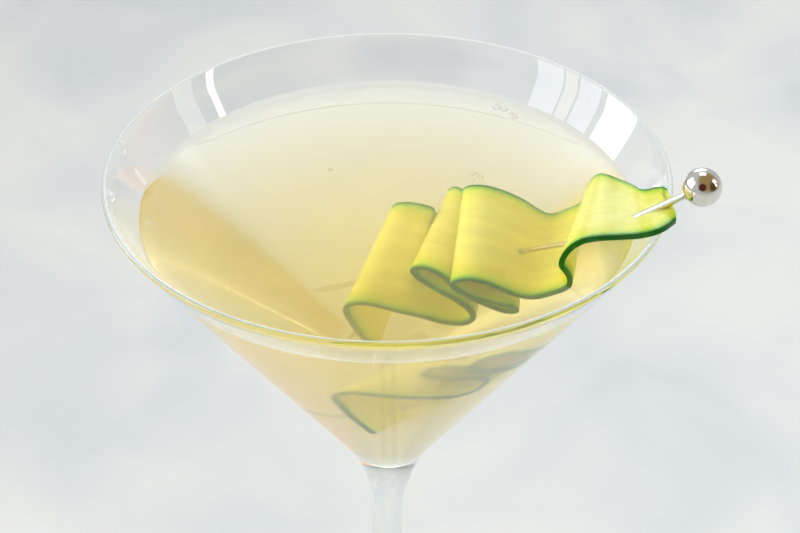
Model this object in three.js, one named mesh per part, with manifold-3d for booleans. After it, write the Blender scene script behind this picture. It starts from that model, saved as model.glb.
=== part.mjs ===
// Martini cocktail: a stemmed glass, its drink, and a cucumber ribbon folded on a steel pick.
// Millimetres, +Z up, +Y away from the viewer. The origin is the centre of the foot's underside.

import * as THREE from "three";
import { mergeVertices } from "three/addons/utils/BufferGeometryUtils.js";
import Module from "manifold-3d";

const wasm = await Module();
wasm.setup();

// Driving dimensions of the glass
const glassHeight = 180;
const rimRadius = 57.5;
const wallThickness = 1.25;
const coneHalfAngle = THREE.MathUtils.degToRad(34.3);
const wellRadius = 11.5;
const stemRadius = 3.9;
const bowlFilletRadius = 38.9;
const footRadius = 39;
const footEdgeThickness = 1.6;
const footShoulderRadius = 12;
const footShoulderHeight = 3.8;
const footFlareHeight = 16;
const footFlarePull = new THREE.Vector2(0.4, 0.6);

// Driving dimensions of the drink
const drinkBelowRim = 8.8;
const fitGap = 0.3;

// Driving dimensions of the pick, with its ball's centre given from the rim's centre
const pickLength = 102.4;
const pickRadius = 0.75;
const pickPointLength = 4;
const pickPointRadius = 0.15;
const ballRadius = 3.8;
const ballCentre = new THREE.Vector3(60.6, -18.2, 7.2);
const pickDirection = new THREE.Vector3(0.753, -0.235, 0.615).normalize();

// Driving dimensions of the ribbon
const ribbonThickness = 1.1;
const ribbonWidth = 31;
const ribbonEndWidth = 12.3;
const ribbonTaperLength = 19;
const ribbonTaperPower = 1.4;
const ribbonEndWave = 0.5;

// Where the ribbon turns: its near edge as x, y, z from the rim's centre, then how far
// its far edge lies to the right of that and above it. The width gives the far edge's y.
const ribbonTurns = [
  [55.7, -20.9, 1.2, -0.6, -0.3],
  [53.1, -23.8, 1.4, 0.6, -2.3],
  [51.2, -24.7, 1.1, 0.8, -3.5],
  [48.6, -23.2, -0.7, 1.8, -4.2],
  [44.9, -22.2, -1.7, 2.8, -4.7],
  [41.1, -22.1, -2, 3.2, -4.8],
  [37.8, -21.7, -3, 5.3, -5.2],
  [35.3, -21.2, -5.4, 7, -5.3],
  [34, -21, -8.8, 8, -5.2],
  [35.6, -22.2, -13, 6, -2.3],
  [35.4, -22.7, -16.4, 5.8, -0.8],
  [32.4, -22.4, -19.8, 6.7, -0.2],
  [28, -21.9, -22.3, 6.2, -1.6],
  [22.6, -21.2, -19.8, 5.1, 2.6],
  [19, -20.7, -17.2, 4.5, 3.4],
  [16.1, -20.2, -16.6, 3.9, 4.2],
  [13.8, -19.7, -17.8, 3.6, 4.6],
  [12.8, -19.4, -20, 3.7, 4.6],
  [14.2, -19.9, -22.3, 3.7, 4.2],
  [17.2, -20.9, -24.1, 3.8, 3.4],
  [20.8, -21.9, -24.9, 4.2, 2.3],
  [24.2, -22.9, -24.9, 4.1, 1.2],
  [25.4, -23.2, -26.3, 3.8, 0.8],
  [23.6, -22.6, -27.6, 3.6, 0.7],
  [19.6, -21, -26.7, 3.7, 1.8],
  [15.8, -19.2, -25.2, 4.2, 2.2],
  [13.2, -17.8, -23.1, 4.6, 1.9],
  [11.5, -16.6, -20.8, 5, 0.9],
  [9.2, -15.3, -19.3, 6.2, -0.5],
  [6.8, -14, -19.3, 7.6, -1.2],
  [5, -13.4, -21, 8.4, -1.8],
  [5.8, -14.1, -23.2, 8.2, -1.8],
  [9, -16.6, -24.8, 7.6, -1.9],
  [13.4, -19.8, -25.9, 6, -1.8],
  [16, -21.6, -27.6, 5, -1.4],
  [16.9, -22.3, -30.2, 4.5, -0.6],
  [15.2, -22.1, -33.2, 4.4, 1.6],
  [11.6, -21.5, -33.8, 4, 4.6],
  [6.6, -20.4, -32.4, 4, 6.2],
  [2.4, -19.6, -31.5, 6.4, 11.8],
  [-1.6, -18.7, -30.4, 8, 11],
  [-5, -18, -29.9, 9, 10.2],
  [-7.4, -17.5, -30.8, 9.6, 9.8],
  [-8.6, -17.2, -33, 9.8, 8.5],
  [-8, -17.1, -37.5, 10, 8],
  [-6, -17.2, -43.8, 10, 7.8],
  [-2.9, -17.3, -51, 8.9, 8.5],
];

// Facet counts
const roundSegments = 72;
const footEdgeSteps = 4;
const footFlareSteps = 6;
const bowlFilletSteps = 6;
const lipSteps = 6;
const wellSteps = 5;
const pickSegments = 16;
const pickRoomSegments = 10;
const ballSteps = 10;
const stepsPerTurn = 3;
const ribbonColumns = 3;

// The drink is cut round the ribbon from this turn on, a few turns at a time
const firstSunkTurn = 4;
const turnsPerCut = 4;

// Points closer than this are one vertex
const weldDistance = 1e-4;

// Points of an arc in a profile's plane, from one angle to another
function arc(centreR, centreZ, radius, startAngle, endAngle, steps) {
  const points = [];
  for (let i = 0; i <= steps; i += 1) {
    const angle = startAngle + ((endAngle - startAngle) * i) / steps;
    points.push(new THREE.Vector2(centreR + radius * Math.cos(angle), centreZ + radius * Math.sin(angle)));
  }
  return points;
}

// Turns a profile of (radius, height) points round the Z axis
function turned(points, segments) {
  const geometry = new THREE.LatheGeometry(points, segments);
  geometry.rotateX(Math.PI / 2);
  return geometry;
}

// A closed geometry with only positions and shared vertices
function welded(geometry) {
  const plain = geometry.clone();
  plain.deleteAttribute("normal");
  plain.deleteAttribute("uv");
  return mergeVertices(plain, weldDistance);
}

function toManifold(geometry) {
  const closed = welded(geometry);
  const vertProperties = new Float32Array(closed.attributes.position.array);
  const triVerts = new Uint32Array(closed.index.array);
  return new wasm.Manifold(new wasm.Mesh({ numProp: 3, vertProperties, triVerts }));
}

function fromManifold(solid) {
  const mesh = solid.getMesh();
  const geometry = new THREE.BufferGeometry();
  geometry.setAttribute("position", new THREE.BufferAttribute(new Float32Array(mesh.vertProperties), 3));
  geometry.setIndex(new THREE.BufferAttribute(new Uint32Array(mesh.triVerts), 1));
  return geometry;
}

// The largest body of a cut solid, without the loose scraps that a cut leaves
function largestBody(solid) {
  const bodies = solid.decompose();
  bodies.sort((a, b) => b.volume() - a.volume());
  return bodies[0];
}

// Lines of the bowl: the lip's centre, and the radius of either face of the wall at a height
const lipRadius = wallThickness / 2;
const lipCentreR = rimRadius - lipRadius;
const lipCentreZ = glassHeight - lipRadius;
const slope = Math.tan(coneHalfAngle);

function wallRadius(z, side) {
  const faceR = lipCentreR + side * lipRadius * Math.cos(coneHalfAngle);
  const faceZ = lipCentreZ - side * lipRadius * Math.sin(coneHalfAngle);
  return faceR + (z - faceZ) * slope;
}

function wallHeight(radius, side) {
  return glassHeight + (radius - wallRadius(glassHeight, side)) / slope;
}

// The bowl's inside: a cone that ends in a round well, drawn in by a clearance
function wellPoints(clearance) {
  const apexZ = wallHeight(0, -1);
  const centreZ = apexZ + wellRadius / Math.sin(coneHalfAngle);
  return arc(0, centreZ, wellRadius - clearance, -coneHalfAngle, -Math.PI / 2, wellSteps);
}

function glassGeometry() {
  const edge = footEdgeThickness / 2;
  const tangentR = stemRadius + bowlFilletRadius * (1 - Math.cos(coneHalfAngle));
  const tangentZ = wallHeight(tangentR, 1);
  const filletZ = tangentZ - bowlFilletRadius * Math.sin(coneHalfAngle);
  const filletR = stemRadius + bowlFilletRadius;
  const footFlare = new THREE.QuadraticBezierCurve(
    new THREE.Vector2(footShoulderRadius, footShoulderHeight),
    new THREE.Vector2(stemRadius, footShoulderHeight).add(footFlarePull),
    new THREE.Vector2(stemRadius, footFlareHeight),
  );
  const points = [
    new THREE.Vector2(0, 0),
    ...arc(footRadius - edge, edge, edge, -Math.PI / 2, Math.PI / 2, footEdgeSteps),
    ...footFlare.getPoints(footFlareSteps),
    ...arc(filletR, filletZ, bowlFilletRadius, Math.PI, Math.PI - coneHalfAngle, bowlFilletSteps),
    ...arc(lipCentreR, lipCentreZ, lipRadius, -coneHalfAngle, Math.PI - coneHalfAngle, lipSteps),
    ...wellPoints(0),
  ];
  points.at(-1).x = 0;
  return turned(points, roundSegments);
}

function pickGeometry(clearance, segments) {
  const shaftRadius = pickRadius + clearance;
  const ball = ballRadius + clearance;
  const neckAngle = Math.asin(shaftRadius / ball);
  const points = [
    new THREE.Vector2(0, -pickLength - clearance),
    new THREE.Vector2(pickPointRadius + clearance, -pickLength - clearance + pickPointRadius),
    new THREE.Vector2(shaftRadius, -pickLength + pickPointLength),
    ...arc(0, 0, ball, neckAngle - Math.PI / 2, Math.PI / 2, ballSteps),
  ];
  points.at(-1).x = 0;
  return turned(points, segments);
}

// Near and far edges of the ribbon as two smooth curves through the same turns
function ribbonRails() {
  const near = [];
  const far = [];
  let fromEnd = 0;
  for (const [x, y, z, right, up] of ribbonTurns) {
    const edge = new THREE.Vector3(x, y, z);
    if (near.length > 0) {
      fromEnd += edge.distanceTo(near.at(-1));
    }
    const left = Math.max(0, 1 - fromEnd / ribbonTaperLength);
    const width = ribbonWidth - (ribbonWidth - ribbonEndWidth) * left ** ribbonTaperPower;
    const across = Math.sqrt(width ** 2 - right ** 2 - up ** 2);
    near.push(edge);
    far.push(new THREE.Vector3(x + right, y + across, z + up));
  }
  return [new THREE.CatmullRomCurve3(near), new THREE.CatmullRomCurve3(far)];
}

// The ribbon's closed strip between two of its turns. Both faces have the same triangles.
function ribbonGeometry(firstTurn, lastTurn, clearance, columns) {
  const [near, far] = ribbonRails();
  const spans = ribbonTurns.length - 1;
  const rows = (lastTurn - firstTurn) * stepsPerTurn;
  const half = ribbonThickness / 2 + clearance;
  const positions = [];
  for (let i = 0; i <= rows; i += 1) {
    const t = (firstTurn + i / stepsPerTurn) / spans;
    const start = near.getPoint(t);
    const end = far.getPoint(t);
    const across = end.clone().sub(start).normalize();
    const nearAlong = near.getTangent(t);
    const farAlong = far.getTangent(t);
    start.addScaledVector(across, -clearance);
    end.addScaledVector(across, clearance);
    let reach = 0;
    if (i === 0) {
      reach = -clearance;
    }
    if (i === rows) {
      reach = clearance;
    }
    for (let j = 0; j <= columns; j += 1) {
      const v = j / columns;
      const along = nearAlong.clone().lerp(farAlong, v).normalize();
      const normal = along.clone().cross(across).normalize();
      const wave = t === 0 ? -ribbonEndWave * Math.sin(2 * Math.PI * v) : 0;
      const point = start.clone().lerp(end, v).addScaledVector(along, reach + wave);
      const top = point.clone().addScaledVector(normal, half);
      const bottom = point.clone().addScaledVector(normal, -half);
      positions.push(top.x, top.y, top.z, bottom.x, bottom.y, bottom.z);
    }
  }
  const corner = (i, j, side) => 2 * (i * (columns + 1) + j) + side;
  const faces = [];
  const quad = (a, b, c, d) => faces.push(a, b, c, a, c, d);
  for (let i = 0; i < rows; i += 1) {
    for (let j = 0; j < columns; j += 1) {
      quad(corner(i, j, 0), corner(i + 1, j, 0), corner(i + 1, j + 1, 0), corner(i, j + 1, 0));
      faces.push(corner(i, j, 1), corner(i + 1, j + 1, 1), corner(i + 1, j, 1));
      faces.push(corner(i, j, 1), corner(i, j + 1, 1), corner(i + 1, j + 1, 1));
    }
    quad(corner(i, 0, 0), corner(i, 0, 1), corner(i + 1, 0, 1), corner(i + 1, 0, 0));
    quad(corner(i, columns, 0), corner(i + 1, columns, 0), corner(i + 1, columns, 1), corner(i, columns, 1));
  }
  for (let j = 0; j < columns; j += 1) {
    quad(corner(0, j, 0), corner(0, j + 1, 0), corner(0, j + 1, 1), corner(0, j, 1));
    quad(corner(rows, j, 0), corner(rows, j, 1), corner(rows, j + 1, 1), corner(rows, j + 1, 0));
  }
  const geometry = new THREE.BufferGeometry();
  geometry.setAttribute("position", new THREE.BufferAttribute(new Float32Array(positions), 3));
  geometry.setIndex(faces);
  return geometry;
}

const glassMaterial = new THREE.MeshStandardMaterial({
  color: 0xe4e9ea,
  roughness: 0.03,
  transparent: true,
  opacity: 0.35,
});
const drinkMaterial = new THREE.MeshStandardMaterial({ color: 0xe6dfb4, roughness: 0.05 });
const cucumberMaterial = new THREE.MeshStandardMaterial({ color: 0xdfe07c, roughness: 0.35 });
const steelMaterial = new THREE.MeshStandardMaterial({ color: 0xd2d0cb, roughness: 0.08, metalness: 1 });

// The garnish is set out from the rim's centre
const garnish = new THREE.Group();
garnish.position.z = glassHeight;

const pick = new THREE.Mesh(pickGeometry(0, pickSegments), steelMaterial);
pick.name = "cocktail_pick";
pick.position.copy(ballCentre);
pick.quaternion.setFromUnitVectors(new THREE.Vector3(0, 0, 1), pickDirection);
pick.updateMatrix();
garnish.add(pick);

const pickRoom = pickGeometry(fitGap, pickRoomSegments).applyMatrix4(pick.matrix);
const wholeRibbon = toManifold(ribbonGeometry(0, ribbonTurns.length - 1, 0, ribbonColumns));
const ribbonSolid = largestBody(wholeRibbon.subtract(toManifold(pickRoom)));
const ribbon = new THREE.Mesh(fromManifold(ribbonSolid), cucumberMaterial);
ribbon.name = "cucumber_ribbon";
garnish.add(ribbon);

const glass = new THREE.Mesh(glassGeometry(), glassMaterial);
glass.name = "martini_glass";

// The drink fills the bowl to its level and leaves room round the ribbon and the pick
function drinkGeometry() {
  const level = glassHeight - drinkBelowRim;
  const wallGap = fitGap / Math.cos(coneHalfAngle);
  const points = [
    new THREE.Vector2(0, level),
    new THREE.Vector2(wallRadius(level, -1) - wallGap, level),
    ...wellPoints(fitGap),
  ];
  points.at(-1).x = 0;
  let drink = toManifold(turned(points.reverse(), roundSegments));
  drink = drink.subtract(toManifold(pickRoom.clone().translate(0, 0, glassHeight)));
  const lastTurn = ribbonTurns.length - 1;
  for (let turn = firstSunkTurn; turn < lastTurn; turn += turnsPerCut) {
    const last = Math.min(turn + turnsPerCut, lastTurn);
    const room = ribbonGeometry(turn, last, fitGap, ribbonColumns).translate(0, 0, glassHeight);
    drink = drink.subtract(toManifold(room));
  }
  return fromManifold(largestBody(drink));
}

const drink = new THREE.Mesh(drinkGeometry(), drinkMaterial);
drink.name = "drink";

const cocktail = new THREE.Group();
cocktail.add(glass, drink, garnish);

export default cocktail;
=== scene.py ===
import math

import bpy
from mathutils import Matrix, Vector


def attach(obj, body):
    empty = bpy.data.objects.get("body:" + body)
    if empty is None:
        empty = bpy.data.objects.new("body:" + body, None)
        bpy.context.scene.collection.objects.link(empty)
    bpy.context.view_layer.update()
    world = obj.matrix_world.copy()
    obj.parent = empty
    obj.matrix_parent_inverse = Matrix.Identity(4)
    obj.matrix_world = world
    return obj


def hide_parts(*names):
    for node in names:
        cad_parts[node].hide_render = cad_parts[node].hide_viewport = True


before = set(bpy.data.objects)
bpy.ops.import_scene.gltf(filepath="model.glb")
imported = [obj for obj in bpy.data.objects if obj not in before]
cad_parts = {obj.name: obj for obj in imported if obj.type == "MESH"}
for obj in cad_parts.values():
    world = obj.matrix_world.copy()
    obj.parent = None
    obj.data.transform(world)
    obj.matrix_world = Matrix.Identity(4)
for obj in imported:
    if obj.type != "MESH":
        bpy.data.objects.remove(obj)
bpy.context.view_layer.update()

# The camera stands a third of a metre in front of the stem and looks down into the bowl
# through a short telephoto lens, so that the foot and most of the stem are out of its view.
bpy.ops.object.select_all(action="DESELECT")
bpy.ops.object.camera_add(
    location=(0, -0.3239, 0.3878),
    rotation=(math.radians(54.38), 0, math.radians(-0.45)),
)
camera = bpy.context.object
camera.name = "camera"
camera.data.lens = 85.5
camera.data.clip_start = 0.01
bpy.context.scene.camera = camera


# The glass is one piece of blown and drawn soda-lime glass. The bowl is a wide cone with a fire
# polished lip, and runs into a drawn stem by a long curve. The foot is a flat disc with a low flare.
glass_height = 0.180
rim_radius = 0.0575
wall_thickness = 0.00125
cone_half_angle = math.radians(34.3)
well_radius = 0.0115
stem_radius = 0.0039
bowl_fillet_radius = 0.0389
foot_radius = 0.039
foot_edge_thickness = 0.0016
foot_shoulder_radius = 0.012
foot_shoulder_height = 0.0038
foot_flare_height = 0.016
foot_hollow_height = 0.0009
foot_rest_radius = 0.0345
glass_segments = 256

lip_radius = wall_thickness / 2
lip_centre_r = rim_radius - lip_radius
lip_centre_z = glass_height - lip_radius
cone_slope = math.tan(cone_half_angle)


def wall_radius(z, side):
    """Radius of the bowl wall's outer face (side 1) or inner face (side -1) at a height."""
    face_r = lip_centre_r + side * lip_radius * math.cos(cone_half_angle)
    face_z = lip_centre_z - side * lip_radius * math.sin(cone_half_angle)
    return face_r + (z - face_z) * cone_slope


def wall_height(radius, side):
    """Height at which a face of the wall has a radius."""
    return glass_height + (radius - wall_radius(glass_height, side)) / cone_slope


def arc(centre_r, centre_z, radius, start, end, steps):
    """Points of an arc in a profile's plane, both ends included."""
    turns = [start + (end - start) * i / steps for i in range(steps + 1)]
    return [(centre_r + radius * math.cos(t), centre_z + radius * math.sin(t)) for t in turns]


def between(start, end, steps):
    """Points on a straight stretch of a profile, without its two ends."""
    shares = [i / steps for i in range(1, steps)]
    return [tuple(a + (b - a) * s for a, b in zip(start, end)) for s in shares]


def turned_piece(name, profile, segments, centre=(0, 0, 0), axis=(0, 0, 1)):
    """Draws a profile of (radius, height) points vertex by vertex and spins it round an axis."""
    axis = Vector(axis).normalized()
    side = axis.orthogonal().normalized()
    points = [Vector(centre) + side * r + axis * z for r, z in profile]
    bpy.ops.object.select_all(action="DESELECT")
    bpy.ops.mesh.primitive_plane_add(size=wall_thickness, location=(0, 0, 0))
    piece = bpy.context.object
    piece.name = name
    bpy.ops.object.mode_set(mode="EDIT")
    bpy.ops.mesh.select_mode(type="VERT")
    bpy.ops.mesh.select_all(action="SELECT")
    bpy.ops.mesh.merge(type="CENTER")
    bpy.ops.transform.translate(value=points[0])
    for last, point in zip(points, points[1:]):
        bpy.ops.mesh.extrude_region_move(TRANSFORM_OT_translate={"value": point - last})
    bpy.ops.mesh.select_all(action="SELECT")
    bpy.ops.mesh.spin(steps=segments, angle=2 * math.pi, center=centre, axis=axis)
    bpy.ops.mesh.select_all(action="SELECT")
    bpy.ops.mesh.remove_doubles(threshold=0.000002)
    bpy.ops.mesh.normals_make_consistent(inside=False)
    bpy.ops.object.mode_set(mode="OBJECT")
    bpy.ops.object.shade_smooth_by_angle(angle=math.radians(40))
    return piece


foot_edge = foot_edge_thickness / 2
fillet_r = stem_radius + bowl_fillet_radius
fillet_end_r = fillet_r - bowl_fillet_radius * math.cos(cone_half_angle)
fillet_end_z = wall_height(fillet_end_r, 1)
fillet_z = fillet_end_z - bowl_fillet_radius * math.sin(cone_half_angle)
well_z = wall_height(0, -1) + well_radius / math.sin(cone_half_angle)

flare = []
for i in range(21):
    t = i / 20
    reach = foot_shoulder_radius * (1 - t) ** 2 + (stem_radius + 0.0004) * 2 * t * (1 - t)
    rise = foot_shoulder_height * (1 - t) ** 2 + (foot_shoulder_height + 0.0006) * 2 * t * (1 - t)
    flare.append((reach + stem_radius * t * t, rise + foot_flare_height * t * t))

hollow = [(foot_rest_radius * s, foot_hollow_height * (1 - s * s)) for s in (0, 0.25, 0.5, 0.75, 0.9, 1)]
foot_rim = arc(foot_radius - foot_edge, foot_edge, foot_edge, -math.pi / 2, math.pi / 2, 10)
fillet = arc(fillet_r, fillet_z, bowl_fillet_radius, math.pi, math.pi - cone_half_angle, 28)
lip = arc(lip_centre_r, lip_centre_z, lip_radius, -cone_half_angle, math.pi - cone_half_angle, 14)
well = arc(0, well_z, well_radius, -cone_half_angle, -math.pi / 2, 14)
well[-1] = (0, well[-1][1])
glass_profile = [
    *hollow,
    *foot_rim,
    *between(foot_rim[-1], flare[0], 10),
    *flare,
    *between(flare[-1], fillet[0], 12),
    *fillet,
    *between(fillet[-1], lip[0], 24),
    *lip,
    *between(lip[-1], well[0], 24),
    *well,
]
glass = turned_piece("stemmed_cone_glass", glass_profile, glass_segments)


def linear(hex_colour):
    """An sRGB hex colour as linear red, green, blue and alpha."""
    shares = [int(hex_colour[i : i + 2], 16) / 255 for i in (1, 3, 5)]
    return [s / 12.92 if s <= 0.04045 else ((s + 0.055) / 1.055) ** 2.4 for s in shares] + [1]


def add_node(tree, kind, inputs=None, **settings):
    """Adds a node with its settings, and sets or links its inputs."""
    made = tree.nodes.new(kind)
    for name, value in settings.items():
        setattr(made, name, value)
    for name, value in (inputs or {}).items():
        if isinstance(value, bpy.types.NodeSocket):
            tree.links.new(value, made.inputs[name])
        else:
            made.inputs[name].default_value = value
    return made


def new_material(name):
    """An empty node material and its tree."""
    material = bpy.data.materials.new(name)
    material.use_nodes = True
    material.node_tree.nodes.clear()
    return material, material.node_tree


# Blown soda-lime glass: clear and colourless, with a faint grey green where the eye looks along the
# wall, slow waves left by blowing, and a trace of smear that softens the reflections.
blown_glass, tree = new_material("blown_soda_lime_glass")
place = add_node(tree, "ShaderNodeTexCoord").outputs["Object"]
wave_size = 0.018
waves = add_node(tree, "ShaderNodeTexNoise", {"Vector": place, "Scale": 1 / wave_size, "Detail": 1.0})
ripple = add_node(
    tree, "ShaderNodeBump", {"Height": waves.outputs["Fac"], "Strength": 0.35, "Distance": 0.00012}
)
smear_size = 0.007
smear = add_node(tree, "ShaderNodeTexNoise", {"Vector": place, "Scale": 1 / smear_size, "Detail": 4.0})
sheen = add_node(
    tree,
    "ShaderNodeMapRange",
    {"Value": smear.outputs["Fac"], "From Min": 0.45, "From Max": 0.75, "To Min": 0.0, "To Max": 0.03},
)
clear = add_node(
    tree,
    "ShaderNodeBsdfPrincipled",
    {
        "Base Color": linear("#ffffff"),
        "Roughness": sheen.outputs["Result"],
        "IOR": 1.5,
        "Transmission Weight": 1.0,
        "Normal": ripple.outputs["Normal"],
    },
)
passing = add_node(tree, "ShaderNodeBsdfTransparent", {"Color": linear("#ffffff")})


def let_through(tree):
    """1 for a shadow ray, and for light that the walls have turned back more than once."""
    ray = add_node(tree, "ShaderNodeLightPath")
    caught = add_node(
        tree, "ShaderNodeMath", {0: ray.outputs["Glossy Depth"], 1: 1}, operation="GREATER_THAN"
    )
    free = add_node(
        tree,
        "ShaderNodeMath",
        {0: ray.outputs["Is Shadow Ray"], 1: caught.outputs["Value"]},
        operation="MAXIMUM",
    )
    return free.outputs["Value"]


surface = add_node(
    tree,
    "ShaderNodeMixShader",
    {0: let_through(tree), 1: clear.outputs["BSDF"], 2: passing.outputs["BSDF"]},
)
tint = add_node(tree, "ShaderNodeVolumeAbsorption", {"Color": linear("#c4dcd0"), "Density": 14.0})
add_node(
    tree,
    "ShaderNodeOutputMaterial",
    {"Surface": surface.outputs["Shader"], "Volume": tint.outputs["Volume"]},
)
glass.data.materials.append(blown_glass)
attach(glass, "root")
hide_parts("martini_glass")


# The drink is a pale, slightly cloudy mix of spirit, citrus and cucumber juice. It fills the bowl to
# a finger's breadth below the lip, wets the wall, and climbs it in a small curved edge.
drink_below_rim = 0.0092
wall_overlap = 0.00012
climb_height = 0.0005
climb_length = 0.0011
climb_reach = 0.008
level = glass_height - drink_below_rim
climb_top = level + climb_height
edge_r = wall_radius(climb_top, -1) + wall_overlap

climb = []
for i in range(25):
    inward = climb_reach * (i / 24) ** 1.6
    climb.append((edge_r - inward, level + climb_height * math.exp(-inward / climb_length)))
flat_part = [(climb[-1][0] * s, level) for s in (0.95, 0.8, 0.6, 0.4, 0.2, 0)]
drink_well = arc(0, well_z, well_radius + wall_overlap, -math.pi / 2, -cone_half_angle, 14)
drink_well[0] = (0, drink_well[0][1])
drink_profile = [*drink_well, *between(drink_well[-1], climb[0], 24), *climb, *flat_part]
drink = turned_piece("pale_drink", drink_profile, glass_segments)

# Cloudy spirit and juice: it lets light through with a straw tint that grows with depth, so it is
# near white where it is shallow and golden where the eye looks through a lot of it.
cloudy_drink, tree = new_material("cloudy_spirit_and_juice")
place = add_node(tree, "ShaderNodeTexCoord").outputs["Object"]
swell_size = 0.011
swell = add_node(tree, "ShaderNodeTexNoise", {"Vector": place, "Scale": 1 / swell_size, "Detail": 2.0})
ripple = add_node(
    tree, "ShaderNodeBump", {"Height": swell.outputs["Fac"], "Strength": 0.25, "Distance": 0.0001}
)
height = add_node(tree, "ShaderNodeSeparateXYZ", {"Vector": place}).outputs["Z"]
wetting = add_node(
    tree,
    "ShaderNodeMapRange",
    {
        "Value": height,
        "From Min": level - 0.002,
        "From Max": level - 0.0005,
        "To Min": 0.2,
        "To Max": 0.0,
    },
)
liquid = add_node(
    tree,
    "ShaderNodeBsdfPrincipled",
    {
        "Base Color": linear("#ffffff"),
        "Roughness": wetting.outputs["Result"],
        "IOR": 1.34,
        "Transmission Weight": 1.0,
        "Normal": ripple.outputs["Normal"],
    },
)
passing = add_node(tree, "ShaderNodeBsdfTransparent")
surface = add_node(
    tree,
    "ShaderNodeMixShader",
    {0: let_through(tree), 1: liquid.outputs["BSDF"], 2: passing.outputs["BSDF"]},
)
straw = add_node(tree, "ShaderNodeVolumeAbsorption", {"Color": linear("#ffed5c"), "Density": 21.0})
cloud = add_node(
    tree, "ShaderNodeVolumeScatter", {"Color": linear("#fff6c4"), "Density": 17.0, "Anisotropy": 0.6}
)
body = add_node(tree, "ShaderNodeAddShader", {0: straw.outputs["Volume"], 1: cloud.outputs["Volume"]})
add_node(
    tree,
    "ShaderNodeOutputMaterial",
    {"Surface": surface.outputs["Shader"], "Volume": body.outputs["Shader"]},
)
drink.data.materials.append(cloudy_drink)
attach(drink, "root")
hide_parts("drink")


# A few small bubbles from shaking float on the drink, singly and in one cluster by the wall. Each is
# a thin dome of drink over air, with a soft foot where the surface climbs to it.
bubble_places = [
    (-12, 14.3, 0.4),
    (18.2, 11.6, 0.8),
    (19.6, 11.0, 0.5),
    (24.4, 39.7, 0.9),
    (26.0, 38.6, 0.6),
    (28.1, 35.5, 0.7),
    (27.4, 36.8, 0.4),
    (-48.6, -5.6, 0.4),
]
bubble_foot = 1.35
bubble_sink = 0.25
bubbles = []
for x, y, size in bubble_places:
    radius = size / 1000
    dome = arc(0, 0, radius, math.pi / 2, math.radians(20), 8)
    foot = [(radius * bubble_foot, 0.02 * radius), (radius * 1.1, -bubble_sink * radius / 2)]
    under = [(0.6 * radius, -bubble_sink * radius), (0, -bubble_sink * radius)]
    profile = [(0, radius), *dome[1:], *foot, *under]
    bubbles.append(turned_piece("surface_bubble", profile, 24, (x / 1000, y / 1000, level)))
bpy.ops.object.select_all(action="DESELECT")
for bubble in bubbles:
    bubble.select_set(True)
bpy.context.view_layer.objects.active = bubbles[0]
bpy.ops.object.join()
froth = bpy.context.object
froth.name = "surface_bubbles"

# A bubble's film: clear as the drink and hardly bending the light, with a bright rim and a spark of
# the windows on its dome.
bubble_film, tree = new_material("bubble_film")
place = add_node(tree, "ShaderNodeTexCoord").outputs["Object"]
drain = add_node(tree, "ShaderNodeTexNoise", {"Vector": place, "Scale": 1 / 0.0004, "Detail": 2.0})
ripple = add_node(
    tree, "ShaderNodeBump", {"Height": drain.outputs["Fac"], "Strength": 0.1, "Distance": 0.00001}
)
film = add_node(
    tree,
    "ShaderNodeBsdfPrincipled",
    {
        "Base Color": linear("#ffffff"),
        "Roughness": 0.0,
        "IOR": 1.34,
        "Transmission Weight": 1.0,
        "Normal": ripple.outputs["Normal"],
    },
)
clear_film = add_node(tree, "ShaderNodeBsdfTransparent")
surface = add_node(
    tree,
    "ShaderNodeMixShader",
    {0: let_through(tree), 1: film.outputs["BSDF"], 2: clear_film.outputs["BSDF"]},
)
add_node(tree, "ShaderNodeOutputMaterial", {"Surface": surface.outputs["Shader"]})
froth.data.materials.append(bubble_film)
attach(froth, "root")


# The garnish is a ribbon peeled lengthwise from a cucumber, rind left on along both edges, folded
# back and forth on the pick and let down into the drink, where its free end hangs to the bottom.
ribbon_thickness = 0.0011
ribbon_width = 0.031
ribbon_end_width = 0.0123
ribbon_taper_length = 0.019
ribbon_taper_power = 1.4
ribbon_end_wave = 0.0005
ribbon_steps_per_turn = 8
ribbon_columns = 20

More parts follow.
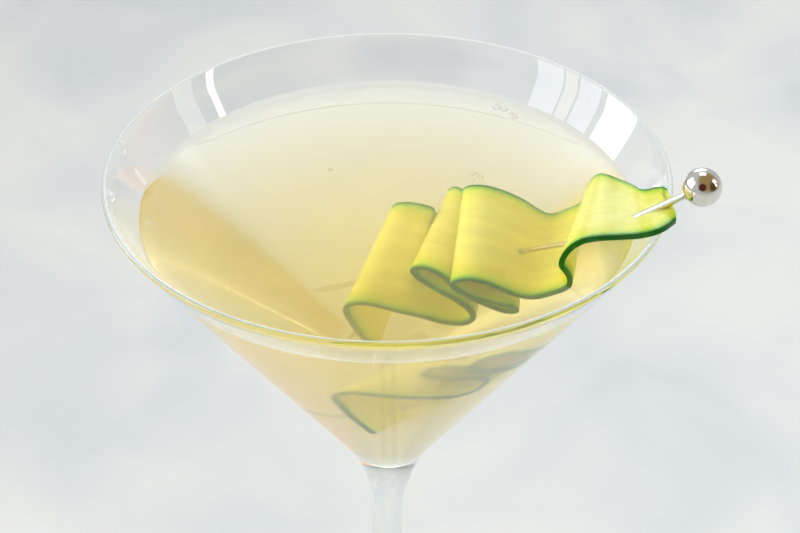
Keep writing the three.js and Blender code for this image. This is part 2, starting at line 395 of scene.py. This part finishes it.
# Where the ribbon turns, in millimetres: its near edge as x, y, z from the rim's centre, then how
# far its far edge lies to the right of that and above it. The width gives the far edge's y.
ribbon_turns = [
    (55.7, -20.9, 1.2, -0.6, -0.3),
    (53.1, -23.8, 1.4, 0.6, -2.3),
    (51.2, -24.7, 1.1, 0.8, -3.5),
    (48.6, -23.2, -0.7, 1.8, -4.2),
    (44.9, -22.2, -1.7, 2.8, -4.7),
    (41.1, -22.1, -2, 3.2, -4.8),
    (37.8, -21.7, -3, 5.3, -5.2),
    (35.3, -21.2, -5.4, 7, -5.3),
    (34, -21, -8.8, 8, -5.2),
    (35.6, -22.2, -13, 6, -2.3),
    (35.4, -22.7, -16.4, 5.8, -0.8),
    (32.4, -22.4, -19.8, 6.7, -0.2),
    (28, -21.9, -22.3, 6.2, -1.6),
    (22.6, -21.2, -19.8, 5.1, 2.6),
    (19, -20.7, -17.2, 4.5, 3.4),
    (16.1, -20.2, -16.6, 3.9, 4.2),
    (13.8, -19.7, -17.8, 3.6, 4.6),
    (12.8, -19.4, -20, 3.7, 4.6),
    (14.2, -19.9, -22.3, 3.7, 4.2),
    (17.2, -20.9, -24.1, 3.8, 3.4),
    (20.8, -21.9, -24.9, 4.2, 2.3),
    (24.2, -22.9, -24.9, 4.1, 1.2),
    (25.4, -23.2, -26.3, 3.8, 0.8),
    (23.6, -22.6, -27.6, 3.6, 0.7),
    (19.6, -21, -26.7, 3.7, 1.8),
    (15.8, -19.2, -25.2, 4.2, 2.2),
    (13.2, -17.8, -23.1, 4.6, 1.9),
    (11.5, -16.6, -20.8, 5, 0.9),
    (9.2, -15.3, -19.3, 6.2, -0.5),
    (6.8, -14, -19.3, 7.6, -1.2),
    (5, -13.4, -21, 8.4, -1.8),
    (5.8, -14.1, -23.2, 8.2, -1.8),
    (9, -16.6, -24.8, 7.6, -1.9),
    (13.4, -19.8, -25.9, 6, -1.8),
    (16, -21.6, -27.6, 5, -1.4),
    (16.9, -22.3, -30.2, 4.5, -0.6),
    (15.2, -22.1, -33.2, 4.4, 1.6),
    (11.6, -21.5, -33.8, 4, 4.6),
    (6.6, -20.4, -32.4, 4, 6.2),
    (2.4, -19.6, -31.5, 6.4, 11.8),
    (-1.6, -18.7, -30.4, 8, 11),
    (-5, -18, -29.9, 9, 10.2),
    (-7.4, -17.5, -30.8, 9.6, 9.8),
    (-8.6, -17.2, -33, 9.8, 8.5),
    (-8, -17.1, -37.5, 10, 8),
    (-6, -17.2, -43.8, 10, 7.8),
    (-2.9, -17.3, -51, 8.9, 8.5),
]

rim_centre = Vector((0, 0, glass_height))
near_turns = []
far_turns = []
from_free_end = 0
for x, y, z, right, up in ribbon_turns:
    near = rim_centre + Vector((x, y, z)) / 1000
    if near_turns:
        from_free_end += (near - near_turns[-1]).length
    taper = max(0, 1 - from_free_end / ribbon_taper_length) ** ribbon_taper_power
    width = ribbon_width - (ribbon_width - ribbon_end_width) * taper
    right, up = right / 1000, up / 1000
    across = math.sqrt(width**2 - right**2 - up**2)
    near_turns.append(near)
    far_turns.append(near + Vector((right, across, up)))


def smooth_line(turns, steps):
    """A smooth curve through the turns, with a number of steps in each span."""
    ends = [2 * turns[0] - turns[1], *turns, 2 * turns[-1] - turns[-2]]
    line = []
    for a, b, c, d in zip(ends, ends[1:], ends[2:], ends[3:]):
        ab, bc, cd = (math.sqrt((q - p).length) for p, q in ((a, b), (b, c), (c, d)))
        leave = ((b - a) / ab - (c - a) / (ab + bc) + (c - b) / bc) * bc
        arrive = ((c - b) / bc - (d - b) / (bc + cd) + (d - c) / cd) * bc
        for i in range(steps):
            t = i / steps
            square = (-3 * b + 3 * c - 2 * leave - arrive) * t * t
            cube = (2 * b - 2 * c + leave + arrive) * t**3
            line.append(b + leave * t + square + cube)
    return [*line, turns[-1]]


near_edge = smooth_line(near_turns, ribbon_steps_per_turn)
far_edge = smooth_line(far_turns, ribbon_steps_per_turn)
ribbon_rows = len(near_edge) - 1

# The strip is laid out flat as a grid, then carried onto its folds, row by row.
bpy.ops.object.select_all(action="DESELECT")
bpy.ops.mesh.primitive_grid_add(x_subdivisions=ribbon_rows, y_subdivisions=ribbon_columns, size=2)
ribbon = bpy.context.object
ribbon.name = "folded_cucumber_ribbon"
from_skin = ribbon.data.attributes.new("from_skin", "FLOAT", "POINT")
along_ribbon = ribbon.data.attributes.new("along_ribbon", "FLOAT", "POINT")
along = [0]
for last, point in zip(near_edge, near_edge[1:]):
    along.append(along[-1] + (point - last).length)
for vertex in ribbon.data.vertices:
    row = round((vertex.co.x + 1) / 2 * ribbon_rows)
    share = (vertex.co.y + 1) / 2
    start, end = near_edge[row], far_edge[row]
    lead = (near_edge[min(row + 1, ribbon_rows)] - near_edge[max(row - 1, 0)]).normalized()
    wave = -ribbon_end_wave * math.sin(2 * math.pi * share) if row == 0 else 0
    vertex.co = start.lerp(end, share) + lead * wave
    length = (end - start).length
    from_skin.data[vertex.index].value = min(share, 1 - share) * length
    along_ribbon.data[vertex.index].value = along[row]

wall = ribbon.modifiers.new("thickness", "SOLIDIFY")
wall.thickness = ribbon_thickness
wall.offset = 0
wall.use_even_offset = True
bpy.ops.object.modifier_apply(modifier=wall.name)
worn = ribbon.modifiers.new("soft_cut_edges", "BEVEL")
worn.width = 0.00022
worn.segments = 3
worn.limit_method = "ANGLE"
worn.angle_limit = math.radians(50)
bpy.ops.object.modifier_apply(modifier=worn.name)
bpy.ops.object.mode_set(mode="EDIT")
bpy.ops.mesh.select_all(action="SELECT")
bpy.ops.mesh.normals_make_consistent(inside=False)
bpy.ops.object.mode_set(mode="OBJECT")
bpy.ops.object.shade_smooth_by_angle(angle=math.radians(55))

# Fresh cucumber: wet, pale and translucent flesh with faint strings along the peel, then a lime
# green layer, and a thin dark rind that shows as a line.
cucumber, tree = new_material("fresh_cucumber")
place = add_node(tree, "ShaderNodeTexCoord").outputs["Object"]
depth = add_node(tree, "ShaderNodeAttribute", attribute_name="from_skin").outputs["Fac"]
length = add_node(tree, "ShaderNodeAttribute", attribute_name="along_ribbon").outputs["Fac"]
flat_place = add_node(tree, "ShaderNodeCombineXYZ", {"X": length, "Y": depth}).outputs["Vector"]
uneven = add_node(tree, "ShaderNodeTexNoise", {"Vector": place, "Scale": 1 / 0.004, "Detail": 3.0})
shift = add_node(
    tree,
    "ShaderNodeMapRange",
    {"Value": uneven.outputs["Fac"], "To Min": -0.00035, "To Max": 0.00035},
)
skin_depth = add_node(tree, "ShaderNodeMath", {0: depth, 1: shift.outputs["Result"]}, operation="ADD")
skin_share = add_node(
    tree,
    "ShaderNodeMapRange",
    {"Value": skin_depth.outputs["Value"], "From Min": 0.0, "From Max": 0.008},
)
layers = add_node(tree, "ShaderNodeValToRGB", {"Fac": skin_share.outputs["Result"]})
ramp = layers.color_ramp
ramp.interpolation = "LINEAR"
ramp.elements[0].position = 0.0
ramp.elements[0].color = linear("#126a02")
ramp.elements[1].position = 1.0
ramp.elements[1].color = linear("#f7f47e")
for at, shade in ((0.025, "#1a7804"), (0.06, "#4ba010"), (0.12, "#a6cf26"), (0.26, "#d9e640"), (0.5, "#f1ee5e")):
    ramp.elements.new(at).color = linear(shade)
strings_place = add_node(
    tree, "ShaderNodeMapping", {"Vector": flat_place, "Scale": (1 / 0.02, 1 / 0.0028, 1)}
)
strings = add_node(
    tree, "ShaderNodeTexNoise", {"Vector": strings_place.outputs["Vector"], "Scale": 1.0, "Detail": 3.0}
)
pale = add_node(
    tree,
    "ShaderNodeMapRange",
    {"Value": strings.outputs["Fac"], "From Min": 0.3, "From Max": 0.7, "To Min": 0.9, "To Max": 1.04},
)
# Painted shade: the first 21 mm of the ribbon from its upper end, which stand out of the drink, are painted
# about a quarter darker, fading out by 29 mm, because that part takes more light than the rest.
out_of_drink_painted_shade = add_node(
    tree,
    "ShaderNodeMapRange",
    {"Value": length, "From Min": 0.021, "From Max": 0.029, "To Min": 0.76, "To Max": 1.0},
)
strings_and_painted_shade = add_node(
    tree, "ShaderNodeMath", {0: pale.outputs["Result"], 1: out_of_drink_painted_shade.outputs["Result"]}, operation="MULTIPLY"
)
flesh = add_node(
    tree,
    "ShaderNodeVectorMath",
    {0: layers.outputs["Color"], 1: strings_and_painted_shade.outputs["Value"]},
    operation="MULTIPLY",
)
grain = add_node(tree, "ShaderNodeTexNoise", {"Vector": place, "Scale": 1 / 0.0006, "Detail": 2.0})
ripple = add_node(
    tree, "ShaderNodeBump", {"Height": grain.outputs["Fac"], "Strength": 0.3, "Distance": 0.00005}
)
wet = add_node(
    tree,
    "ShaderNodeMapRange",
    {"Value": uneven.outputs["Fac"], "From Min": 0.3, "From Max": 0.7, "To Min": 0.16, "To Max": 0.34},
)
softness = add_node(
    tree,
    "ShaderNodeMapRange",
    {"Value": skin_depth.outputs["Value"], "From Min": 0.0002, "From Max": 0.0009, "To Min": 0.1},
)
skin = add_node(
    tree,
    "ShaderNodeBsdfPrincipled",
    {
        "Base Color": flesh.outputs["Vector"],
        "Roughness": wet.outputs["Result"],
        "IOR": 1.38,
        "Specular IOR Level": 0.3,
        "Subsurface Weight": softness.outputs["Result"],
        "Subsurface Radius": (0.002, 0.002, 0.0007),
        "Subsurface Scale": 1.0,
        "Normal": ripple.outputs["Normal"],
    },
)
add_node(tree, "ShaderNodeOutputMaterial", {"Surface": skin.outputs["BSDF"]})
ribbon.data.materials.append(cucumber)
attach(ribbon, "root")
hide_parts("cucumber_ribbon")


# The pick is a straight steel skewer with a ground point and a ball welded on its upper end. It
# leans on the lip, goes through the ribbon's folds, and its point lies under the drink's surface.
pick_length = 0.1024
pick_radius = 0.00075
pick_point_length = 0.004
pick_point_radius = 0.00015
ball_radius = 0.0038
ball_centre = rim_centre + Vector((0.0606, -0.0182, 0.0072))
pick_direction = Vector((0.753, -0.235, 0.615)).normalized()
weld_radius = 0.0005
neck_r = pick_radius + weld_radius
neck_z = -math.sqrt((ball_radius + weld_radius) ** 2 - neck_r**2)
neck_turn = math.atan2(-neck_z, neck_r)

point = arc(0, pick_point_radius - pick_length, pick_point_radius, -math.pi / 2, 0, 6)
point[0] = (0, -pick_length)
weld = arc(neck_r, neck_z, weld_radius, math.pi, neck_turn, 8)
ball = arc(0, 0, ball_radius, -neck_turn, math.pi / 2, 48)
ball[-1] = (0, ball_radius)
shaft_start = (pick_radius, pick_point_length - pick_length)
pick_profile = [
    *point,
    *between(point[-1], shaft_start, 4),
    shaft_start,
    *between(shaft_start, weld[0], 40),
    *weld,
    *ball[1:],
]
pick = turned_piece("steel_ball_pick", pick_profile, 64, ball_centre, pick_direction)

# Polished stainless steel: a mirror with a slightly warm grey, hair scratches along the shaft from
# buffing, and faint finger smears on the ball.
polished_steel, tree = new_material("polished_stainless_steel")
place = add_node(tree, "ShaderNodeTexCoord").outputs["Object"]
smears = add_node(tree, "ShaderNodeTexNoise", {"Vector": place, "Scale": 1 / 0.002, "Detail": 4.0})
lean = pick_direction.to_track_quat("Z", "Y").inverted().to_euler()
buffed_place = add_node(
    tree, "ShaderNodeMapping", {"Vector": place, "Rotation": tuple(lean)}, vector_type="POINT"
)
drawn_place = add_node(
    tree, "ShaderNodeMapping", {"Vector": buffed_place.outputs["Vector"], "Scale": (5000, 5000, 120)}
)
hairs = add_node(tree, "ShaderNodeTexNoise", {"Vector": drawn_place.outputs["Vector"], "Scale": 1.0})
polish = add_node(
    tree,
    "ShaderNodeMapRange",
    {"Value": smears.outputs["Fac"], "From Min": 0.35, "From Max": 0.75, "To Min": 0.04, "To Max": 0.12},
)
scratches = add_node(
    tree, "ShaderNodeBump", {"Height": hairs.outputs["Fac"], "Strength": 0.12, "Distance": 0.00002}
)
mirror = add_node(
    tree,
    "ShaderNodeBsdfPrincipled",
    {
        "Base Color": linear("#d9d4cc"),
        "Metallic": 1.0,
        "Roughness": polish.outputs["Result"],
        "Normal": scratches.outputs["Normal"],
    },
)
add_node(tree, "ShaderNodeOutputMaterial", {"Surface": mirror.outputs["BSDF"]})
pick.data.materials.append(polished_steel)
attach(pick, "root")
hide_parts("cocktail_pick")


# The floor is one wide slab of honed pale stone with broad, faint grey clouds in it.
bpy.ops.object.select_all(action="DESELECT")
bpy.ops.mesh.primitive_plane_add(size=6, location=(0, 0, -0.0001))
floor = bpy.context.object
floor.name = "pale_stone_floor"
pale_stone, tree = new_material("honed_pale_stone")
place = add_node(tree, "ShaderNodeTexCoord").outputs["Object"]
clouds = add_node(
    tree, "ShaderNodeTexNoise", {"Vector": place, "Scale": 1 / 0.09, "Detail": 3.0, "Distortion": 0.6}
)
stone = add_node(tree, "ShaderNodeValToRGB", {"Fac": clouds.outputs["Fac"]})
stone.color_ramp.elements[0].position = 0.3
stone.color_ramp.elements[0].color = linear("#c0c4c5")
stone.color_ramp.elements[1].position = 0.62
stone.color_ramp.elements[1].color = linear("#d5d3cf")
# Painted light and shade: the stone's colour is scaled from 1.29 times towards the near right down to 0.3 times
# towards the windows at the left and far side, so the window bank does not bleach it.
across_floor = add_node(tree, "ShaderNodeVectorMath", {0: place, 1: (-0.9, 1, 0)}, operation="DOT_PRODUCT")
painted_light_fade = add_node(
    tree,
    "ShaderNodeMapRange",
    {"Value": across_floor.outputs["Value"], "From Min": -0.2, "From Max": 1.5, "To Min": 1.29, "To Max": 0.3},
)
stone_with_painted_light = add_node(
    tree, "ShaderNodeVectorMath", {0: stone.outputs["Color"], 1: painted_light_fade.outputs["Result"]}, operation="MULTIPLY"
)
honed = add_node(
    tree, "ShaderNodeBsdfPrincipled", {"Base Color": stone_with_painted_light.outputs["Vector"], "Roughness": 0.6}
)
add_node(tree, "ShaderNodeOutputMaterial", {"Surface": honed.outputs["BSDF"]})
floor.data.materials.append(pale_stone)


# The light is a bright white room with a bank of four window panes on the left and a narrow window
# on the right, which show as white bands on the inside of the bowl, and a soft skylight behind.
bank_distance = 1.5
sill_height = 0.25
window_height = 1.25
bank_panes = [
    (-0.50, -0.15, 5, "#f3f8ff"),
    (-0.12, 0.03, 4.5, "#fff3d6"),
    (0.06, 0.33, 4.5, "#f3f8ff"),
    (0.42, 0.95, 7, "#ffffff"),
]


def light_pane(name, location, facing, width, height, radiance, shade):
    """An upright pane of even light at a place, facing along a direction."""
    bpy.ops.object.light_add(type="AREA", location=location)
    pane = bpy.context.object
    pane.name = name
    pane.rotation_euler = Vector(facing).to_track_quat("-Z", "Y").to_euler()
    pane.data.shape = "RECTANGLE"
    pane.data.size = width
    pane.data.size_y = height
    pane.data.color = linear(shade)[:3]
    pane.data.energy = radiance * width * height * math.pi
    pane.visible_transmission = False
    return pane


for i, (start, end, radiance, shade) in enumerate(bank_panes):
    middle = (-bank_distance, (start + end) / 2, sill_height + window_height / 2)
    light_pane(f"window_left_{i}", middle, (1, 0, 0), end - start, window_height, radiance, shade)
light_pane("window_right", (1.5, -0.155, 0.9), (-1, 0, 0), 0.09, 1.0, 14, "#ffffff")
light_pane("window_right_pale", (1.5, 0.2, 1.02), (-1, 0, 0), 0.25, 0.76, 2.5, "#ffffff")
light_pane("skylight_behind", (0.1, 0.9, 1.9), (-0.05, -0.45, -0.9), 1.0, 0.8, 2, "#fffdf6")

world = bpy.data.worlds.new("white_room")
bpy.context.scene.world = world
world.use_nodes = True
tree = world.node_tree
tree.nodes.clear()
way = add_node(tree, "ShaderNodeTexCoord").outputs["Generated"]
rise = add_node(tree, "ShaderNodeSeparateXYZ", {"Vector": way}).outputs["Z"]
height = add_node(tree, "ShaderNodeMapRange", {"Value": rise, "From Min": -0.1, "From Max": 0.9})
walls = add_node(tree, "ShaderNodeValToRGB", {"Fac": height.outputs["Result"]})
walls.color_ramp.elements[0].color = linear("#dfe4e7")
walls.color_ramp.elements[1].color = linear("#f0f6fa")
far_side = Vector((0, 0.94, 0.34)).normalized()
far_right = Vector((0.95, 0.25, 0.1)).normalized()
ceiling = Vector((0.45, -0.37, 0.81)).normalized()
right_side = Vector((0.8, -0.4, 0.3)).normalized()
viewer_side = Vector((-0.14, -0.84, 0.5)).normalized()
ray = add_node(tree, "ShaderNodeLightPath")
mirrored = ray.outputs["Is Glossy Ray"]
passed = ray.outputs["Is Transmission Ray"]
shades = walls.outputs["Color"]
for toward, reach, core, shade, glow, seen in (
    (far_side, 21, 4, "#f6faff", 4.0, 1.0),
    (far_right, 75, 10, "#ffb850", 1.7, passed),
    (ceiling, 75, 40, "#b8a06c", 1.0, mirrored),
    (right_side, 32, 14, "#6e5536", 1.0, mirrored),
    (viewer_side, 28, 17, "#6b3530", 1.0, mirrored),
):
    facing = add_node(tree, "ShaderNodeVectorMath", {0: way, 1: toward}, operation="DOT_PRODUCT")
    patch = add_node(
        tree,
        "ShaderNodeMapRange",
        {
            "Value": facing.outputs["Value"],
            "From Min": math.cos(math.radians(reach)),
            "From Max": math.cos(math.radians(core)),
        },
        interpolation_type="SMOOTHSTEP",
    )
    share = add_node(tree, "ShaderNodeMath", {0: patch.outputs["Result"], 1: seen}, operation="MULTIPLY")
    shades = add_node(
        tree,
        "ShaderNodeMix",
        {0: share.outputs["Value"], 6: shades, 7: [part * glow for part in linear(shade)]},
        data_type="RGBA",
    ).outputs[2]
room = add_node(tree, "ShaderNodeBackground", {"Color": shades, "Strength": 1.0})
add_node(tree, "ShaderNodeOutputWorld", {"Surface": room.outputs["Background"]})

scene = bpy.context.scene
scene.view_settings.view_transform = "Standard"
scene.view_settings.exposure = -0.3
scene.cycles.max_bounces = 32
scene.cycles.transmission_bounces = 32
scene.cycles.glossy_bounces = 32
scene.cycles.diffuse_bounces = 4
scene.cycles.volume_bounces = 12
scene.cycles.transparent_max_bounces = 16
scene.cycles.caustics_refractive = True
scene.cycles.caustics_reflective = True
